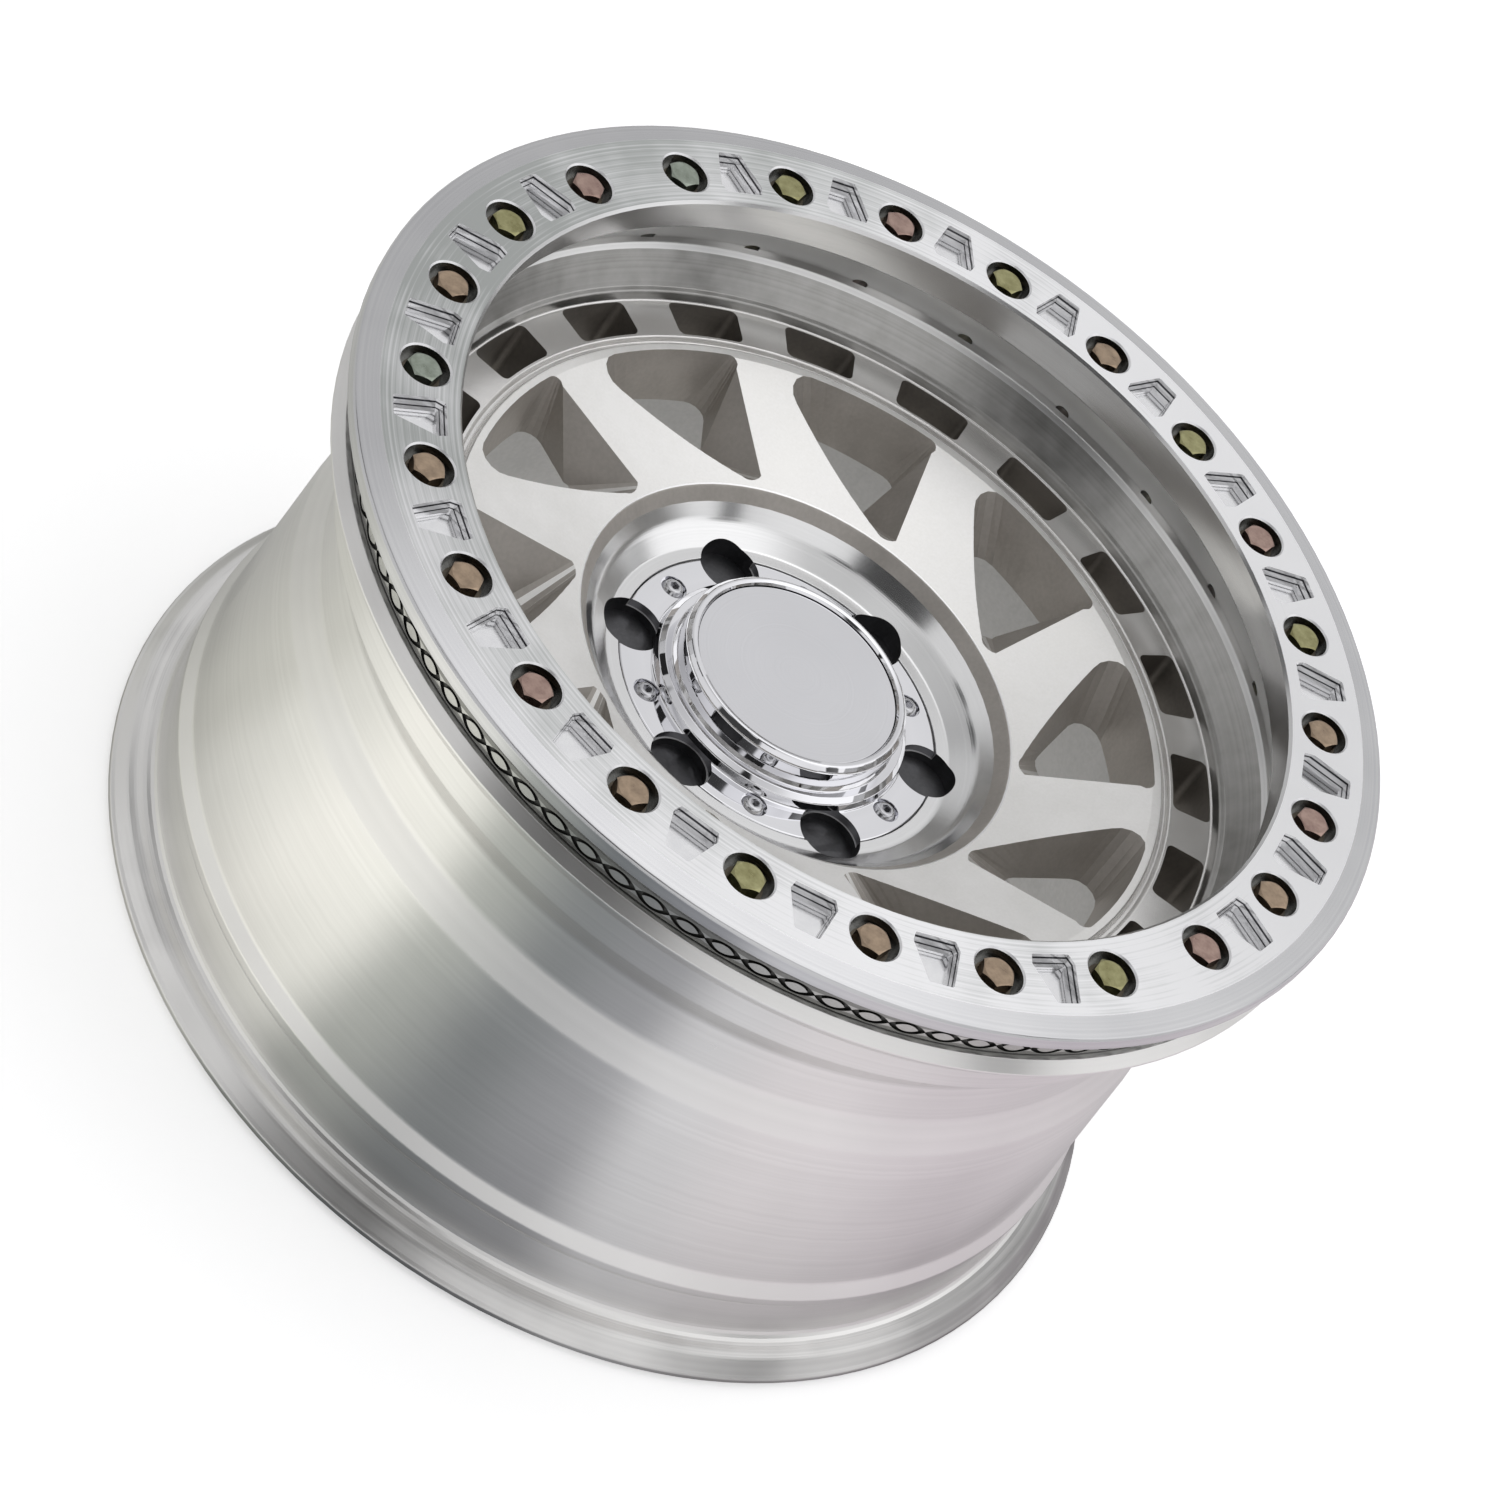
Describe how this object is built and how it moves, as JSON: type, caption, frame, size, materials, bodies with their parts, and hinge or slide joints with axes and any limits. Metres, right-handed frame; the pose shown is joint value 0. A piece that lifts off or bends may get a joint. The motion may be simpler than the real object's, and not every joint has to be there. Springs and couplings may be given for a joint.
{
  "type": "car wheel",
  "caption": "Off-road car wheel with a swept-spoke cast disc, a slotted band, a bolted outer ring with pockets and a braided edge, and a screwed-on chromed centre cap.",
  "frame": {"origin": "centre of the hub's mounting face, on the wheel's axis", "axes": "+Z along the wheel's axis, from the mounting face towards the outer face; +X through the centre of one lug hole"},
  "size_m": [0.4697, 0.4698, 0.2575],
  "materials": {
    "machined_aluminium": "turned and clear-coated cast aluminium",
    "ring_aluminium": "fine-turned aluminium with milled pockets",
    "bolt_steel": "zinc-plated steel, yellow passivated",
    "washer_steel": "zinc-plated steel",
    "cap_chrome": "polished chrome plate",
    "screw_steel": "bright steel"
  },
  "bodies": {
    "root": {"wheel": "machined_aluminium", "beadlock_ring": "ring_aluminium", "ring_bolts": "bolt_steel", "ring_washers": "washer_steel", "centre_cap": "cap_chrome", "cap_disc": "cap_chrome", "cap_screws": "screw_steel"}
  },
  "joints": []
}
